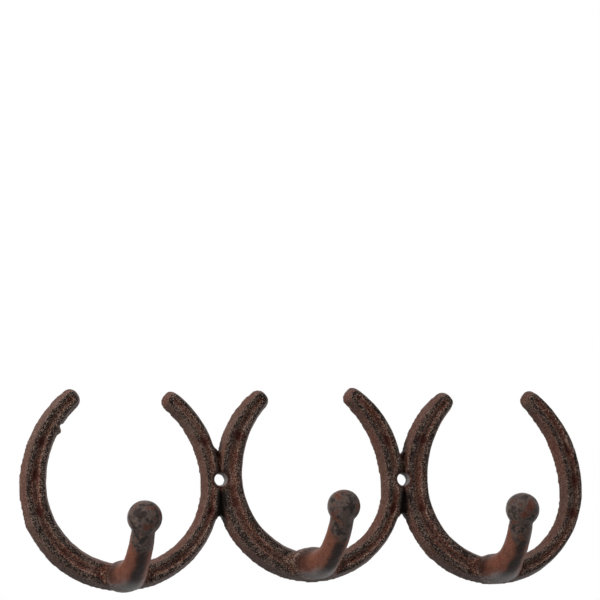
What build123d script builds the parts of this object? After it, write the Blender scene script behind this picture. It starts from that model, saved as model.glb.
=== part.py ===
from build123d import *
import os
from math import cos, degrees, radians, sin, tan

# Driving dimensions in millimetres, angles in degrees

# Screw holes through the webs, countersunk from the front
screw_hole_spacing = 100.0
screw_hole_radius = 3.4
countersink_radius = 5.4
countersink_angle = 90.0

# Bars of the shoes: flat at the back, drafted at the sides and rounded along the front edges
bar_thickness = 8.4
side_draft = 16.5
front_edge_radius = 2.0

# The pattern was carved by hand, so the left, middle and right shoes differ a little
left_half_width = 52.9
right_half_width = 52.0
middle_shoe_place = -0.1
web_overlaps = (1.3, 1.7, 0.2)
side_bar_widths = (12.3, 13.6, 14.0)
inner_offsets = (1.7, 1.4, 1.6)
toe_skews = (0.7, 3.3, 3.1)
widest_levels = (-3.8, -1.7, -3.9)
toe_bar_widths = (13.8, 14.4, 13.6)

# The branches bend on a larger radius than the toe and narrow to the squared heels
branch_radii = (64.1, 63.9, 65.5)
left_heel_angles = (55.5, 53.0, 53.9)
right_heel_angles = (54.1, 55.4, 55.9)
heel_widths = (10.1, 9.8, 10.1)

# Where two shoes meet, their outer edges run straight before they bend, and a thinner web fills the notches
waist_lengths = (3.0, 4.5)
web_thickness = 5.0
web_width = 9.0
web_tops = (16.3, 14.9)
web_bottoms = (-18.4, -17.7)
web_top_radius = 1.1
web_bottom_radius = 1.8

# Fuller, the groove along each bar, and the nail holes punched in it
fuller_cutter_radius = 4.2
fuller_depth = 0.9
fuller_heel_margin = 7.0
nail_hole_radius = 1.9
nail_point_radius = 0.9
nail_hole_depth = 0.8
nail_places = (-13.0, 5.5, 22.0)

# Hooks: each grows out of a toe on a wide root, bends up and ends in a ball
hook_drops = (0.5, -0.4, -0.7)
hook_offsets = (0.0, -1.3, -1.0)
hook_turns = (1.1, 5.5, -0.3)
hook_bend_radii = (42.9, 42.0, 41.5)
hook_rise_angles = (69.3, 71.5, 72.6)
hook_root_widths = (21.0, 26.0, 26.0)
hook_root_heights = (16.1, 16.7, 15.3)
hook_flare_lengths = (25.0, 24.8, 28.1)
hook_flare_power = 2
hook_start_depth = 2.0
hook_shank_diameters = (14.4, 13.0, 14.0)
hook_neck_diameters = (11.1, 11.6, 11.5)
hook_steps = 14
ball_diameters = (17.2, 16.6, 17.2)
ball_neck_radius = 1.6

# Sizes that follow from the ones above
web_centres = (-screw_hole_spacing / 2, screw_hole_spacing / 2)
middle_half_width = screw_hole_spacing / 2 + web_overlaps[1]
outer_half_widths = (left_half_width, middle_half_width, right_half_width)
left_shoe_place = web_centres[0] + web_overlaps[0] - left_half_width
right_shoe_place = web_centres[1] - web_overlaps[2] + right_half_width
shoe_places = (left_shoe_place, middle_shoe_place, right_shoe_place)
shoe_count = len(shoe_places)
draft_inset = bar_thickness * tan(radians(side_draft))
heel_corner_radius = front_edge_radius + draft_inset
cutter_height = bar_thickness - fuller_depth + fuller_cutter_radius
nail_height = bar_thickness - fuller_depth - nail_hole_depth / 2

# Shares of the way from a bar's outer edge to its inner edge
outer_edge = 0.0
middle_line = 0.5
inner_edge = 1.0


# A line along a shoe's bar: the toe, and the branches that run from it to the heels
def bar_line(number, share, heel_margin=0.0):
    outer_half = outer_half_widths[number]
    outer_level = widest_levels[number]
    inner_half = outer_half - side_bar_widths[number]
    inner_level = outer_level - outer_half + toe_bar_widths[number] + inner_half
    centre = shoe_places[number] + share * inner_offsets[number]
    half = outer_half + share * (inner_half - outer_half)
    level = outer_level + share * (inner_level - outer_level)
    radius = branch_radii[number]
    skew = share * toe_skews[number]
    lowest = Vector(centre + skew, level - half)
    toes = []
    branches = []
    left_side = (-1, number - 1, 180, left_heel_angles)
    right_side = (1, number, 270, right_heel_angles)
    for side, web, toe_start, heel_angles in (left_side, right_side):
        toe_radius = half - side * skew
        toe_centre = lowest + (0, toe_radius)
        toes.append(CenterArc(toe_centre, toe_radius, toe_start, 90))
        heel_angle = heel_angles[number] - degrees(heel_margin / radius)
        pivot = Vector(shoe_places[number] - side * (radius - outer_half), outer_level)
        heel_way = Vector(side, 0).rotate(Axis.Z, side * heel_angle)
        heel = pivot + heel_way * (radius - share * heel_widths[number])
        branch_start = toe_centre + (side * toe_radius, 0)
        if share < inner_edge and web in range(len(waist_lengths)):
            waist = Line(branch_start, branch_start + (0, (1 - share) * waist_lengths[web]))
            branch_start = waist @ 1
        branches.append(TangentArc(branch_start, heel, tangent=(0, 1)))
    return toes, branches


# One shoe, with its heels cut square in plan and its sides leaning in to the front
def cast_shoe(number):
    with BuildPart() as shoe:
        with BuildSketch() as plan:
            with BuildLine():
                outer_toes, outer_branches = bar_line(number, outer_edge)
                inner_toes, inner_branches = bar_line(number, inner_edge)
                heels = [Line(outer @ 1, inner @ 1) for outer, inner in zip(outer_branches, inner_branches)]
            make_face()
            heel_corners = [end for heel in heels for end in heel.vertices()]
            fillet(plan.vertices().sort_by(Axis.Y)[-len(heel_corners):], heel_corner_radius)
        extrude(amount=bar_thickness)
        draft(shoe.faces().filter_by(Axis.Z, reverse=True), Plane.XY, side_draft)
        fillet(shoe.faces().sort_by(Axis.Z)[-1].edges(), front_edge_radius)
    return shoe.part


# A hook leaves its toe with its underside level, narrows from a wide root as it bends up and carries a ball
def cast_hook(number):
    turn = radians(hook_turns[number])
    toe_bottom = widest_levels[number] - outer_half_widths[number]
    hook_plane = Plane(
        origin=(
            shoe_places[number] + hook_offsets[number],
            toe_bottom + toe_bar_widths[number] / 2 - hook_drops[number],
            0,
        ),
        x_dir=(sin(turn), 0, cos(turn)),
        z_dir=(-cos(turn), 0, sin(turn)),
    )
    across = hook_plane.z_dir * -1
    shank_diameter = hook_shank_diameters[number]
    with BuildPart() as hook:
        with BuildLine(hook_plane, mode=Mode.PRIVATE) as bend:
            Line((hook_start_depth, 0), (bar_thickness, 0))
            JernArc((bar_thickness, 0), (1, 0), hook_bend_radii[number], hook_rise_angles[number])
        bend_line = bend.wire()
        for step in range(hook_steps + 1):
            along = step / hook_steps
            clear_of_bar = max(0, along * bend_line.length + hook_start_depth - bar_thickness)
            flare = max(0, 1 - clear_of_bar / hook_flare_lengths[number]) ** hook_flare_power
            diameter = shank_diameter + along * (hook_neck_diameters[number] - shank_diameter)
            width = diameter + flare * (hook_root_widths[number] - diameter)
            height = diameter + flare * (hook_root_heights[number] - diameter)
            with BuildSketch(Plane(bend_line @ along, across, bend_line % along)):
                with Locations((0, (height - diameter) / 2)):
                    Ellipse(width / 2, height / 2)
        loft()
        with Locations(bend_line @ 1):
            Sphere(ball_diameters[number] / 2)
        rims = hook.edges().filter_by(lambda edge: edge.is_closed)
        fillet(rims.sort_by_distance(bend_line @ 1)[0], ball_neck_radius)
    return hook.part


shoes = [cast_shoe(number) for number in range(shoe_count)]
hooks = [cast_hook(number) for number in range(shoe_count)]

# The casting is modelled lying on its flat back, as its pattern lies on the moulding board
with BuildPart() as casting:
    add(shoes)

    # Webs: a thinner pad behind each meeting of two shoes, bitten round at its top and bottom
    for web, top, bottom in zip(web_centres, web_tops, web_bottoms):
        with BuildSketch():
            with Locations((web, top + web_top_radius)):
                Rectangle(web_width, top + web_top_radius - bottom, align=(Align.CENTER, Align.MAX))
                Circle(web_top_radius, mode=Mode.SUBTRACT)
            with Locations((web, bottom - web_bottom_radius)):
                Rectangle(web_width, web_bottom_radius, align=(Align.CENTER, Align.MIN))
                Circle(web_bottom_radius, mode=Mode.SUBTRACT)
        extrude(amount=web_thickness)

    # Fuller along the middle of each bar, with nail holes in it that miss the webs
    for number in range(shoe_count):
        with BuildLine():
            toes, branches = bar_line(number, middle_line, fuller_heel_margin)
        with BuildSketch(Plane(branches[0] @ 1, x_dir=(0, 0, 1), z_dir=branches[0] % 1)):
            with Locations((cutter_height, 0)):
                Circle(fuller_cutter_radius)
        sweep(mode=Mode.SUBTRACT)
        with Locations([(branch @ 1) + (0, 0, cutter_height) for branch in branches]):
            Sphere(fuller_cutter_radius, mode=Mode.SUBTRACT)
        sides = zip(toes, branches, (0, 1), (1, -1), (number - 1, number + 1))
        for toe, branch, toe_end, toe_way, neighbour in sides:
            for place in nail_places[::2] if neighbour in range(shoe_count) else nail_places:
                if place > 0:
                    nail = branch.position_at(place / branch.length)
                else:
                    nail = toe.position_at(toe_end - toe_way * place / toe.length)
                with Locations(nail + (0, 0, nail_height)):
                    Cone(nail_point_radius, nail_hole_radius, nail_hole_depth, mode=Mode.SUBTRACT)

    with Locations([(web, 0, bar_thickness) for web in web_centres]):
        CounterSinkHole(screw_hole_radius, countersink_radius, counter_sink_angle=countersink_angle)

    add(hooks)

# The rack stands upright, with its back to the wall
with BuildPart() as hook_rack:
    add(casting.part, rotation=(90, 0, 0))

hook_rack.part.label = "hook_rack"
os.makedirs("parts", exist_ok=True)
export_step(hook_rack.part, "parts/hook_rack.step")
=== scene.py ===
from math import cos, radians, sin

import bpy
import numpy as np
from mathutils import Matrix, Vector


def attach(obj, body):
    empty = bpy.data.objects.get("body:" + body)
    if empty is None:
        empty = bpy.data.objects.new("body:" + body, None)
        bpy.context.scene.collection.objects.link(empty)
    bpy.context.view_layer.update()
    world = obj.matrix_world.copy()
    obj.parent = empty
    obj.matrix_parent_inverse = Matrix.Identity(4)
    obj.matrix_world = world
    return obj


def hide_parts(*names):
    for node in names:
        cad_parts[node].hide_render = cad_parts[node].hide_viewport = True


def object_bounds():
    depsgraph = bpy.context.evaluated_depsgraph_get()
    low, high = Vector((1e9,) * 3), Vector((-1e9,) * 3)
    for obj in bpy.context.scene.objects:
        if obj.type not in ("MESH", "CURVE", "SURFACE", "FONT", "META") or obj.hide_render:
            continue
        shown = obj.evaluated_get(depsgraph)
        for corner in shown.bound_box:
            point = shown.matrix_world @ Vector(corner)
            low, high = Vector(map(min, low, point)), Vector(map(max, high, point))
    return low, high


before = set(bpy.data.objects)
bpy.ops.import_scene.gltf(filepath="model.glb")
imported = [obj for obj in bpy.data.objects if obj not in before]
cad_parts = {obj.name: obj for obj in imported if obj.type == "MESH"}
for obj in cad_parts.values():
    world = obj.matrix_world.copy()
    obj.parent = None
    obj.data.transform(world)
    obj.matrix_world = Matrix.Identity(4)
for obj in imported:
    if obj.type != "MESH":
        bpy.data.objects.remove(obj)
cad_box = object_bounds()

scene = bpy.context.scene

# Casting
# One piece of grey iron, poured in sand: three horseshoes, two webs and three ball-ended hooks.
# The sand leaves soft edges, filled corners, slow waves along the bars and a coarse grain.
# It was painted rust red, and then darkened and rubbed along everything that stands proud.

# Sizes of the solid, in metres
BAR_THICKNESS = 0.0084
HOOK_BEND = 0.042
SCREW_HOLE_SPACING = 0.100
NAIL_FLOOR = 0.0067
NAIL_RADIUS = 0.0019

# How finely the solid is remeshed and how much it is softened, with lengths in metres
MERGE_GAP = 0.00001
NAIL_FLOOR_SLACK = 0.00005
NAIL_FLOOR_FACING = 0.5
VOXEL = 0.00072
SOFTEN_FACTOR = 0.5
SOFTEN_STEPS = 3

casting = bpy.data.objects.new("casting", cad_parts["hook_rack"].data.copy())
scene.collection.objects.link(casting)
bpy.ops.object.select_all(action="DESELECT")
casting.select_set(True)
bpy.context.view_layer.objects.active = casting
bpy.ops.object.mode_set(mode="EDIT")
bpy.ops.mesh.select_all(action="SELECT")
bpy.ops.mesh.remove_doubles(threshold=MERGE_GAP)
bpy.ops.object.mode_set(mode="OBJECT")


def apply_modifier(piece, kind, **settings):
    modifier = piece.modifiers.new(kind.lower(), kind)
    for name, value in settings.items():
        setattr(modifier, name, value)
    bpy.context.view_layer.objects.active = piece
    bpy.ops.object.modifier_apply(modifier=modifier.name)


def read_points(name):
    values = np.empty(len(casting.data.vertices) * 3)
    casting.data.vertices.foreach_get(name, values)
    return values.reshape(-1, 3)


# Floors of the nail holes in the solid, which lie deeper than the fuller and face the front
points, normals = read_points("co"), read_points("normal")
at_floor = np.abs(points[:, 1] + NAIL_FLOOR) < NAIL_FLOOR_SLACK
nail_floors = points[at_floor & (normals[:, 1] < -NAIL_FLOOR_FACING)]

apply_modifier(casting, "REMESH", mode="VOXEL", voxel_size=VOXEL, use_smooth_shade=True)
apply_modifier(casting, "SMOOTH", factor=SOFTEN_FACTOR, iterations=SOFTEN_STEPS)

mesh = casting.data
count = len(mesh.vertices)
edges = np.empty(len(mesh.edges) * 2, dtype=np.int64)
mesh.edges.foreach_get("vertices", edges)
edges = edges.reshape(-1, 2)
ends = np.concatenate([edges[:, 0], edges[:, 1]])
others = np.concatenate([edges[:, 1], edges[:, 0]])
links = np.maximum(np.bincount(ends, minlength=count), 1)


def move_points(places):
    mesh.vertices.foreach_set("co", places.ravel())
    mesh.update()


# Values at the points, averaged with their neighbours along the edges, as often as the steps say
def spread(values, steps):
    values = values.copy()
    for _ in range(steps):
        for axis in range(values.shape[1]):
            total = np.bincount(ends, weights=values[others, axis], minlength=count)
            values[:, axis] = 0.5 * values[:, axis] + 0.5 * total / links
    return values


NORMAL_STEPS = 6


def steady_normals():
    steady = spread(read_points("normal"), NORMAL_STEPS)
    return steady / np.linalg.norm(steady, axis=1, keepdims=True)


# How far each point stands out of its surroundings, below zero in a hollow
def stand_proud(places, steps):
    return ((places - spread(places, steps)) * steady_normals()).sum(axis=1)


# Corners fill with metal where a point lies deep enough below its surroundings. The steps set how wide those
# are, and the other sizes are in metres.
WEB_FILL_STEPS = 60
CREASE_FILL_STEPS = 110
ROOT_FILL_STEPS = 170
FILL_ROUNDS = 3
FILL_EDGE_STEPS = 12
FILL_START = 0.00016
FILL_FULL = 0.00042
ROOT_REACH = (0.0075, 0.020)
CREASE_REACH = 0.002
CREASE_LEVELS = (0.0045, 0.0125)
NOTCH_HALF_WIDTH = 0.006
NOTCH_LEVEL = 0.0135


def fill_corners(steps, share):
    places = read_points("co")
    fill = np.clip((-stand_proud(places, steps) - FILL_START) / (FILL_FULL - FILL_START), 0, 1)
    fill = spread((fill * share)[:, None], FILL_EDGE_STEPS)
    move_points(places + fill * (spread(places, steps) - places))


# The notch above each web stays sharp. The creases above the screw holes and the hooks' roots fill most.
points = read_points("co")
from_web = np.abs(np.abs(points[:, 0]) - SCREW_HOLE_SPACING / 2)
up, reach = points[:, 2], -points[:, 1]
fill_corners(WEB_FILL_STEPS, (from_web > NOTCH_HALF_WIDTH) | (up < NOTCH_LEVEL))
in_crease = (from_web < NOTCH_HALF_WIDTH) & (up > CREASE_LEVELS[0]) & (up < CREASE_LEVELS[1])
for _ in range(FILL_ROUNDS):
    fill_corners(CREASE_FILL_STEPS, in_crease & (reach > CREASE_REACH))
    fill_corners(ROOT_FILL_STEPS, (reach > ROOT_REACH[0]) & (reach < ROOT_REACH[1]))

# The remesh softens the fuller and the nail holes, so they are pressed in again
RIDGE_STEPS = 22
FULLER_STEPS = 4
FULLER_SINK = 3.8
FULLER_FACING = 0.75
NAIL_DEPTH = 0.0006

points = read_points("co")
nail = np.full(count, 1.0)
for nail_floor in nail_floors:
    nail = np.minimum(nail, np.linalg.norm(points - nail_floor, axis=1))
groove = np.maximum(0, -stand_proud(points, RIDGE_STEPS))
groove = groove * (-steady_normals()[:, 1] > FULLER_FACING) * (reach < BAR_THICKNESS)
dent = NAIL_DEPTH * np.exp(-(nail / NAIL_RADIUS) ** 2)
points[:, 1] += FULLER_SINK * spread(groove[:, None], FULLER_STEPS)[:, 0] + dent
move_points(points)

# Slow waves from the pattern and pebbles from the sand, with lengths in metres
WAVE_SIZE = 0.0085
WAVE_HEIGHT = 0.00045
WAVE_MIDDLE = 0.1
PEBBLE_SIZE = 0.0022
PEBBLE_HEIGHT = 0.00016
PEBBLE_MIDDLE = 0.3


def cloud(name, size, depth):
    texture = bpy.data.textures.new(name, "CLOUDS")
    texture.noise_scale = size
    texture.noise_depth = depth
    return texture


apply_modifier(casting, "DISPLACE", texture=cloud("waves", WAVE_SIZE, 1), texture_coords="LOCAL",
               strength=WAVE_HEIGHT, mid_level=WAVE_MIDDLE)
apply_modifier(casting, "DISPLACE", texture=cloud("pebbles", PEBBLE_SIZE, 2), texture_coords="LOCAL",
               strength=PEBBLE_HEIGHT, mid_level=PEBBLE_MIDDLE)

# The bottom of the notch above each web lies lower than in the solid. The drop grows in from a share of
# the notch's level.
NOTCH_START = 0.6
NOTCH_DROP = 0.0019
NOTCH_WIDTH = 0.0026

points = read_points("co")
beside = np.exp(-((np.abs(points[:, 0]) - SCREW_HOLE_SPACING / 2) / NOTCH_WIDTH) ** 2)
raised = np.clip(points[:, 2] / NOTCH_LEVEL - NOTCH_START, 0, 1 - NOTCH_START) / (1 - NOTCH_START)
points[:, 2] -= NOTCH_DROP * beside * raised

# Flaws of the mould: a burr with a nick above it on the left branch, and a lump on the outer edge. Each has
# its place across, its place up, its radius and its height, in metres.
BURR = (-0.1340, 0.0253, 0.0015, 0.0012)
NICK = (-0.1324, 0.0280, 0.0013, -0.0011)
LUMP = (-0.1505, -0.0230, 0.0035, 0.0006)

sideways = steady_normals() * (1, 0, 1)
for x, z, radius, rise in (BURR, NICK, LUMP):
    near = np.exp(-((points[:, 0] - x) ** 2 + (points[:, 2] - z) ** 2) / radius ** 2)
    points += rise * near[:, None] * sideways

# The back stays flat, and the grown skin keeps to the length, depth and height of the solid
low, high = np.array(cad_box[0]), np.array(cad_box[1])
points[:, 1] = np.minimum(points[:, 1], high[1])
shrink = np.minimum(1, (high - low) / (points.max(axis=0) - points.min(axis=0)))
points = (points - points.max(axis=0)) * shrink + np.minimum(points.max(axis=0), high)
points = np.clip(points, low, high)
move_points(points)
for polygon in mesh.polygons:
    polygon.use_smooth = True

# What the paint follows, kept at each point with lengths in millimetres. The outer side of a hook's bend
# faces down at the root and forward at the ball.
MILLIMETRES = 1000
HOLLOW_STEPS = 60
WEB_TOP = 0.010
WEB_FADE = 0.7


def keep(name, values):
    layer = mesh.attributes.new(name, "FLOAT", "POINT")
    layer.data.foreach_set("value", np.ascontiguousarray(values, dtype=np.float32))


facing = steady_normals()
reach = -points[:, 1]
bend_sine = np.clip((reach - BAR_THICKNESS) / HOOK_BEND, 0, 1)
bend_cosine = np.sqrt(1 - bend_sine ** 2)
from_hole = np.abs(points[:, 0]) - SCREW_HOLE_SPACING / 2
keep("outer", -facing[:, 1] * bend_sine - facing[:, 2] * bend_cosine)
keep("ridge", stand_proud(points, RIDGE_STEPS) * MILLIMETRES)
keep("hollow", -stand_proud(points, HOLLOW_STEPS) * MILLIMETRES)
keep("front", -facing[:, 1])
keep("under", -facing[:, 2])
keep("reach", reach * MILLIMETRES)
keep("nail", nail * MILLIMETRES)
keep("web", (np.abs(from_hole) + WEB_FADE * np.clip(points[:, 2], 0, WEB_TOP)) * MILLIMETRES)
keep("bore", np.hypot(from_hole, points[:, 2]) * MILLIMETRES)


# A socket of a node, which adds the nodes of an expression that it is used in
class Socket:
    tree = None

    def __init__(self, out):
        self.out = out

    @classmethod
    def node(cls, kind, output, settings=None, **values):
        made = cls.tree.nodes.new(kind)
        for name, value in (settings or {}).items():
            setattr(made, name, value)
        for name, value in values.items():
            numbered = name[0] == "i" and name[1:].isdigit()
            target = made.inputs[int(name[1:]) if numbered else name.replace("_", " ")]
            if isinstance(value, Socket):
                cls.tree.links.new(value.out, target)
            else:
                target.default_value = value
        return cls(made.outputs[output])

    def maths(self, operation, *terms):
        values = {f"i{number}": term for number, term in enumerate((self, *terms))}
        return Socket.node("ShaderNodeMath", 0, {"operation": operation}, **values)

    def __add__(self, other):
        return self.maths("ADD", other)

    def __sub__(self, other):
        return self.maths("SUBTRACT", other)

    def __mul__(self, other):
        return self.maths("MULTIPLY", other)

    def __rsub__(self, other):
        return (self * -1) + other

    __radd__ = __add__
    __rmul__ = __mul__

    # From 0 at the low end to 1 at the high end
    def ramp(self, low_end, high_end):
        smooth = {"interpolation_type": "SMOOTHSTEP"}
        return Socket.node("ShaderNodeMapRange", 0, smooth, i0=self, i1=low_end, i2=high_end)

    # One colour over another, with this value as the share of the upper one
    def paint(self, lower, upper):
        return Socket.node("ShaderNodeMix", 2, {"data_type": "RGBA"}, i0=self, i6=lower, i7=upper)


iron = bpy.data.materials.new("painted_cast_iron")
iron.use_nodes = True
Socket.tree = iron.node_tree
iron.node_tree.nodes.clear()
place = Socket.node("ShaderNodeTexCoord", "Object")


def noise(scale, detail, rough=0.5):
    return Socket.node("ShaderNodeTexNoise", 0, Vector=place, Scale=scale, Detail=detail, Roughness=rough)


def read(name):
    return Socket.node("ShaderNodeAttribute", "Fac", {"attribute_name": name})


RED = (0.138, 0.040, 0.021, 1)
BROWN = (0.122, 0.055, 0.034, 1)
RUST = (0.190, 0.062, 0.036, 1)
UMBER = (0.094, 0.056, 0.043, 1)
DEEP_RED = (0.034, 0.009, 0.006, 1)
STAIN_RED = (0.062, 0.014, 0.010, 1)
SMOKE_AND_SHEEN = (0.112, 0.078, 0.067, 1)
BLACK = (0.0065, 0.0050, 0.0045, 1)
STEEL_AND_REFLECTION = (0.240, 0.220, 0.212, 1)
DUST_AND_GLINT = (0.54, 0.37, 0.295, 1)

# Where the finishes change, in millimetres. These are distances from the plane of the back.
EDGE_GRAIN = (8.0, 9.0)
BAR_END = (9.0, 14.0)
GRAIN_END = (9.0, 24.0)
ROOT_START = (8.5, 11.0)
ROOT_END = (13.0, 22.0)
BARE_END = (18.0, 30.0)
BALL_START = (43.0, 46.0)

# These are distances from a nail hole, from the middle of a web and, for the rest, from a screw hole's axis
NAIL_SPOT = (0.8, 3.4)
WEB_SHADE = (1.3, 4.4)
HOLE_WALL = (3.5, 3.8)
COUNTERSINK = (4.4, 6.2)
COUNTERSINK_RIM = (4.6, 7.0)
WEB_END = (14.0, 22.0)

GRAIN_DEPTH = 0.0022
GLOSS = 0.075

ridge, hollow, front, under, outer = (read(name) for name in ("ridge", "hollow", "front", "under", "outer"))
far, to_nail, to_web, to_bore = (read(name) for name in ("reach", "nail", "web", "bore"))
grain = noise(scale=1250, detail=2, rough=0.6)
fine = noise(scale=2500, detail=1)
patch = noise(scale=130, detail=3, rough=0.6)
wide = noise(scale=38, detail=2)
blotch = noise(scale=260, detail=2, rough=0.6)
spot = patch - 0.5
speck = grain - 0.5

# Masks, with limits and shares as given
face = front.ramp(0.4, 0.8)
on_bar = 1 - far.ramp(*BAR_END)
on_ball = far.ramp(*BALL_START)
on_flank = (1 - face) * on_bar
on_shank = (1 - on_bar) * (1 - on_ball)
coarse = (face + (1 - face) * (far.ramp(*EDGE_GRAIN) * 0.82 + 0.18)) * (1 - far.ramp(*GRAIN_END) * 0.8)
shoulder = (ridge + spot * 0.3).ramp(-0.10, 0.08)
worn_bar = (ridge + spot * 0.45 + speck * 0.6 + (wide - 0.5) * 0.6).ramp(0.19, 0.30) * face
worn_hook = (outer + spot * 0.3 + speck * 0.15).ramp(0.80, 0.99)
worn_ball = (blotch + speck * 0.15).ramp(0.46, 0.62) * 0.92
worn = worn_bar * on_bar + (1 - on_bar) * (worn_hook * (1 - on_ball) + worn_ball * on_ball)
# Painted reflection of the pale floor: grey on the hooks' bellies near the roots
belly_reflection = (outer + spot * 0.4).ramp(0.55, 0.9) * (1 - on_bar) * (1 - far.ramp(*BARE_END))
# Light flecks on the grain, partly dust and partly painted glints, more on the shoulders
dust_and_glint_speck = (grain * 0.55 + fine * 0.45 + spot * 0.2).ramp(0.50, 0.60)
dust_and_glint_speck = dust_and_glint_speck * (coarse * on_bar * (shoulder * 0.7 + 0.3) + 0.08)
dark_speck = (1 - (grain * 0.5 + fine * 0.5).ramp(0.38, 0.50)) * (coarse * (shoulder * 0.4 + 0.4) + 0.2)
# Painted shade: deep red in the hollows, weaker near the screw holes
hollow_shade = (hollow + spot * 0.3 + speck * 0.2).ramp(0.30, 0.6) * (to_bore.ramp(*WEB_END) * 0.85 + 0.15)
# Painted shade in the corners where the hooks grow out of the bars, on the inner side of the bend
root_shade = far.ramp(*ROOT_START) * (1 - far.ramp(*ROOT_END)) * (1 - (outer + spot * 0.5).ramp(0.3, 0.8))
mottle = 1 - (blotch + speck * 0.2).ramp(0.36, 0.54)
shade = (under + spot * 0.6 + speck * 0.3).ramp(0.30, 0.85) * on_flank
punched = 1 - (to_nail + speck * 4.0 + spot * 4.0).ramp(*NAIL_SPOT)
# Painted shade: deep red in the countersinks round the screw holes
countersink_shade = 1 - (to_bore + speck * 2.0).ramp(*COUNTERSINK)
# Painted shade: black in the valleys between the bars at the webs, outside the countersinks
web_valley_shade = 1 - (to_web + spot * 3.0 + speck * 3.0).ramp(*WEB_SHADE)
web_valley_shade = web_valley_shade * to_bore.ramp(*COUNTERSINK_RIM) * on_bar
drilled = 1 - to_bore.ramp(*HOLE_WALL)

# Coats over the red and brown ground, each with the share that it covers, from the first to the last. Some
# are painted light, not paint: painted shade in the fuller, the hollows, the hooks' roots, on the flanks
# that face down, in the countersinks and in the web valleys, painted highlight on the balls and among the
# flecks, and the floor's painted reflection on the hook bellies.
coats = (
    (on_flank * 0.1, UMBER),
    (on_flank * (spot * 0.8 + 0.50), DEEP_RED),
    # Grey-brown patches on the balls, partly the iron's smoky tone and partly a painted highlight
    (on_ball * patch.ramp(0.36, 0.50), SMOKE_AND_SHEEN),
    # Painted shade: the fuller's hollow between the shoulders is darkened with deep red
    ((1 - shoulder) * coarse * on_bar * 0.12, DEEP_RED),
    # Painted shade in the hollows
    (hollow_shade, DEEP_RED),
    (on_shank * 0.75, RUST),
    # Painted shade at the hooks' roots
    (root_shade * 0.8, DEEP_RED),
    (mottle * 0.28, DEEP_RED),
    (shade * 0.65, BLACK),
    (worn * 0.94, BLACK),
    # Painted reflection of the floor on the hook bellies
    (belly_reflection * 0.8, STEEL_AND_REFLECTION),
    (dark_speck * 0.92, BLACK),
    # Light flecks, partly dust and partly painted glints
    (dust_and_glint_speck * (1 - worn * 0.52), DUST_AND_GLINT),
    (punched * 0.85, STAIN_RED),
    # Painted shade in the countersinks
    (countersink_shade * 0.6, DEEP_RED),
    # Painted shade in the web valleys
    (web_valley_shade * 0.97, BLACK),
    (drilled * 0.7, STEEL_AND_REFLECTION),
)
colour = wide.ramp(0.4, 0.62).paint(RED, BROWN)
for share, coat in coats:
    colour = share.paint(colour, coat)
roughness = 0.40 + on_bar * 0.06 - on_ball * 0.18 + spot * 0.2
relief = (grain * 0.7 + fine * 0.3) * (coarse * 0.88 + 0.12) + blotch * on_ball * 0.2
bump = Socket.node("ShaderNodeBump", 0, Strength=1.0, Distance=GRAIN_DEPTH, Height=relief)
shader = Socket.node("ShaderNodeBsdfPrincipled", 0, Base_Color=colour, Normal=bump, Roughness=roughness,
                     Specular_IOR_Level=GLOSS)
output = iron.node_tree.nodes.new("ShaderNodeOutputMaterial")
iron.node_tree.links.new(shader.out, output.inputs["Surface"])
mesh.materials.clear()
mesh.materials.append(iron)

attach(casting, "root")
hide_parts("hook_rack")

# Room
# A pale floor far below the rack and a white surround, with soft boxes at both sides, below and behind.
# Camera, glossy and transmission rays see the floor and the surround as white.
FLOOR_SIZE = 14.0
FLOOR_LEVEL = -1.6
FLOOR_WHITENESS = 0.85
PALE = (0.8, 0.8, 0.8, 1)
WHITE = (1, 1, 1, 1)
DIM = (0.03, 0.03, 0.03, 1)
CAMERA_PLACE = (-0.3909, -1.27196, -0.10743)
CAMERA_TURNS = (98.7026, 1.4644, -16.7541)
LENS_LENGTH = 151.813
SENSOR_WIDTH = 36

bpy.ops.object.select_all(action="DESELECT")
bpy.ops.mesh.primitive_plane_add(size=FLOOR_SIZE, location=(0, 0, FLOOR_LEVEL))
floor = bpy.context.object
floor.name = "floor"
pale = bpy.data.materials.new("pale_floor")
pale.use_nodes = True
Socket.tree = pale.node_tree
pale.node_tree.nodes.clear()


def seen_white():
    kinds = ("Camera", "Glossy", "Transmission")
    rays = [Socket.node("ShaderNodeLightPath", f"Is {kind} Ray") for kind in kinds]
    return rays[0].maths("MAXIMUM", rays[1]).maths("MAXIMUM", rays[2])


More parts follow.
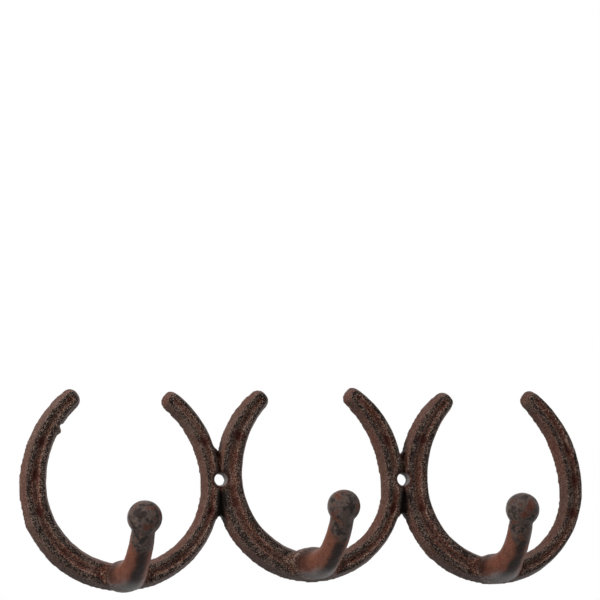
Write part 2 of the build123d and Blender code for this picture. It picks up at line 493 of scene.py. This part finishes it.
matte = Socket.node("ShaderNodeBsdfDiffuse", 0, Color=PALE)
white = Socket.node("ShaderNodeEmission", 0, Color=WHITE, Strength=1.0)
paper = Socket.node("ShaderNodeMixShader", 0, i0=seen_white() * FLOOR_WHITENESS, i1=matte, i2=white)
paper_output = pale.node_tree.nodes.new("ShaderNodeOutputMaterial")
pale.node_tree.links.new(paper.out, paper_output.inputs["Surface"])
floor.data.materials.append(pale)

world = bpy.data.worlds.new("surround")
scene.world = world
world.use_nodes = True
Socket.tree = world.node_tree
world.node_tree.nodes.clear()
sky = Socket.node("ShaderNodeBackground", 0, Color=seen_white().paint(DIM, WHITE), Strength=1.0)
sky_output = world.node_tree.nodes.new("ShaderNodeOutputWorld")
world.node_tree.links.new(sky.out, sky_output.inputs["Surface"])


def soft_box(name, azimuth, elevation, distance, size, power):
    lamp = bpy.data.lights.new(name, "AREA")
    lamp.shape = "SQUARE"
    lamp.size = size
    lamp.energy = power
    box = bpy.data.objects.new(name, lamp)
    scene.collection.objects.link(box)
    turn, tilt = radians(azimuth), radians(elevation)
    level_distance = distance * cos(tilt)
    box.location = (level_distance * sin(turn), -level_distance * cos(turn), distance * sin(tilt))
    box.rotation_euler = (radians(90) - tilt, 0, turn)
    return box


# The box behind lights the back, and is kept out of reflections so that it makes no glare on the hooks
soft_box("left_box", azimuth=-60, elevation=26, distance=1.0, size=0.34, power=10.8)
soft_box("right_box", azimuth=62, elevation=26, distance=1.0, size=0.25, power=4.1)
soft_box("low_box", azimuth=0, elevation=-82, distance=0.5, size=0.6, power=1.0)
back_box = soft_box("back_box", azimuth=180, elevation=0, distance=1.1, size=0.4, power=4)
back_box.visible_glossy = False

lens = bpy.data.cameras.new("camera")
lens.lens = LENS_LENGTH
lens.sensor_width = SENSOR_WIDTH
camera = bpy.data.objects.new("camera", lens)
scene.collection.objects.link(camera)
camera.location = CAMERA_PLACE
camera.rotation_euler = [radians(turn) for turn in CAMERA_TURNS]
scene.camera = camera
scene.view_settings.view_transform = "Standard"
